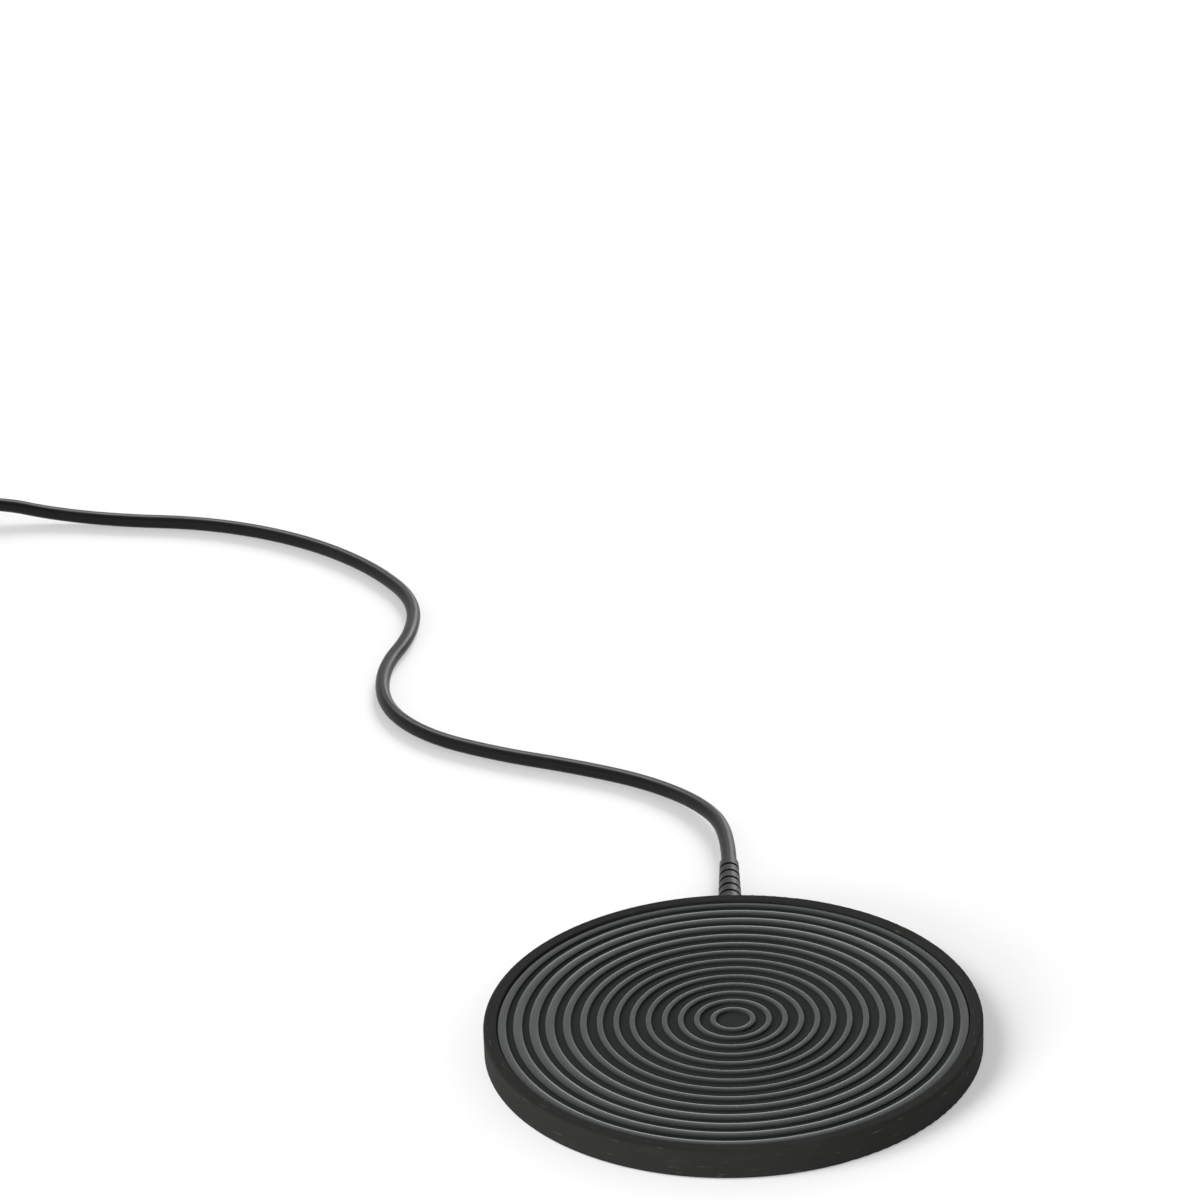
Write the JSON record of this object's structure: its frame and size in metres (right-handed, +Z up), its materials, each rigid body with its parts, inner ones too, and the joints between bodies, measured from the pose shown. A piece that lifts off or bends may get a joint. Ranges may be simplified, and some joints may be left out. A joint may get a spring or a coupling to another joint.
{
  "type": "electric mug warmer",
  "caption": "Thin round mug warmer with a ribbed heated plate, a rocker switch in its cord and a plug for a low-voltage supply.",
  "frame": {"origin": "centre of the disc, on the surface that its feet stand on", "axes": "+Z up through the warming plate, +Y out of the back where the cord leaves, -Y the front, +X to the right"},
  "size_m": [0.339, 0.348, 0.0141],
  "materials": {
    "soft_black": "matte moulded",
    "base_black": "fine spark texture",
    "ribbed_plate": "satin non-stick coating",
    "gasket_silicone": "matte",
    "foot_rubber": "matte",
    "film_amber": "glossy film",
    "pad_fibre": "needled fibre",
    "plain_steel": "rolled",
    "screw_steel": "zinc plated",
    "board_green": "solder mask",
    "chip_black": "moulded epoxy",
    "capacitor_tan": "fired",
    "sensor_bead": "epoxy dipped",
    "lead_yellow": "enamelled",
    "fuse_case": "drawn",
    "lead_white": "sleeved",
    "wire_red": "extruded",
    "wire_black": "extruded",
    "cord_black": "satin jacket",
    "tie_strap": "woven hook-and-loop",
    "case_black": "fine spark texture",
    "rocker_black": "polished",
    "contact_brass": "stamped",
    "spring_steel": "drawn wire",
    "plug_steel": "nickel plated",
    "tongue_white": "moulded",
    "contact_gold": "gold flashed"
  },
  "bodies": {
    "warmer": {"housing_ring": "soft_black", "base_cover": "base_black", "warming_plate": "ribbed_plate", "plate_gasket": "gasket_silicone", "rubber_feet": "foot_rubber", "heating_film": "film_amber", "insulation_pad": "pad_fibre", "retainer_plate": "plain_steel", "retainer_screws": "screw_steel", "plate_screws": "screw_steel", "base_screws": "screw_steel", "control_board": "board_green", "board_screws": "screw_steel", "controller_chip": "chip_black", "power_transistor": "chip_black", "board_capacitors": "capacitor_tan", "temperature_sensor": "sensor_bead", "sensor_leads": "lead_yellow", "thermal_fuse": "fuse_case", "fuse_leads": "lead_white", "heater_leads": "lead_white", "supply_wire_positive": "wire_red", "supply_wire_negative": "wire_black", "strain_relief": "cord_black", "cord_to_switch": "cord_black", "cord_to_coil": "cord_black", "cord_coil": "cord_black", "cord_tie": "tie_strap", "cord_to_plug": "cord_black", "switch_case_lower": "case_black", "switch_case_upper": "case_black", "switch_screws": "screw_steel", "pivot_terminal": "contact_brass", "contact_terminal": "contact_brass", "switch_positive_wires": "wire_red", "switch_negative_wire": "wire_black", "plug_grip": "case_black", "plug_shell": "plug_steel", "plug_tongue": "tongue_white", "plug_contacts": "contact_gold"},
    "rocker": {"switch_rocker": "rocker_black", "switch_plunger": "contact_brass", "plunger_spring": "spring_steel"},
    "lever": {"contact_lever": "contact_brass"}
  },
  "joints": [
    {"name": "switch_rocking", "type": "hinge", "parent": "warmer", "child": "rocker", "pos_m": [-0.231, 0.284, 0.0092], "axis": [0, 1, 0], "range_deg": [0, 14]},
    {"name": "lever_rocking", "type": "hinge", "parent": "warmer", "child": "lever", "pos_m": [-0.231, 0.284, 0.0045], "axis": [0, 1, 0], "range_deg": [-10, 0]}
  ],
  "couplings": [
    {"joint": "lever_rocking", "follows": "switch_rocking", "ratio": -0.71429}
  ]
}
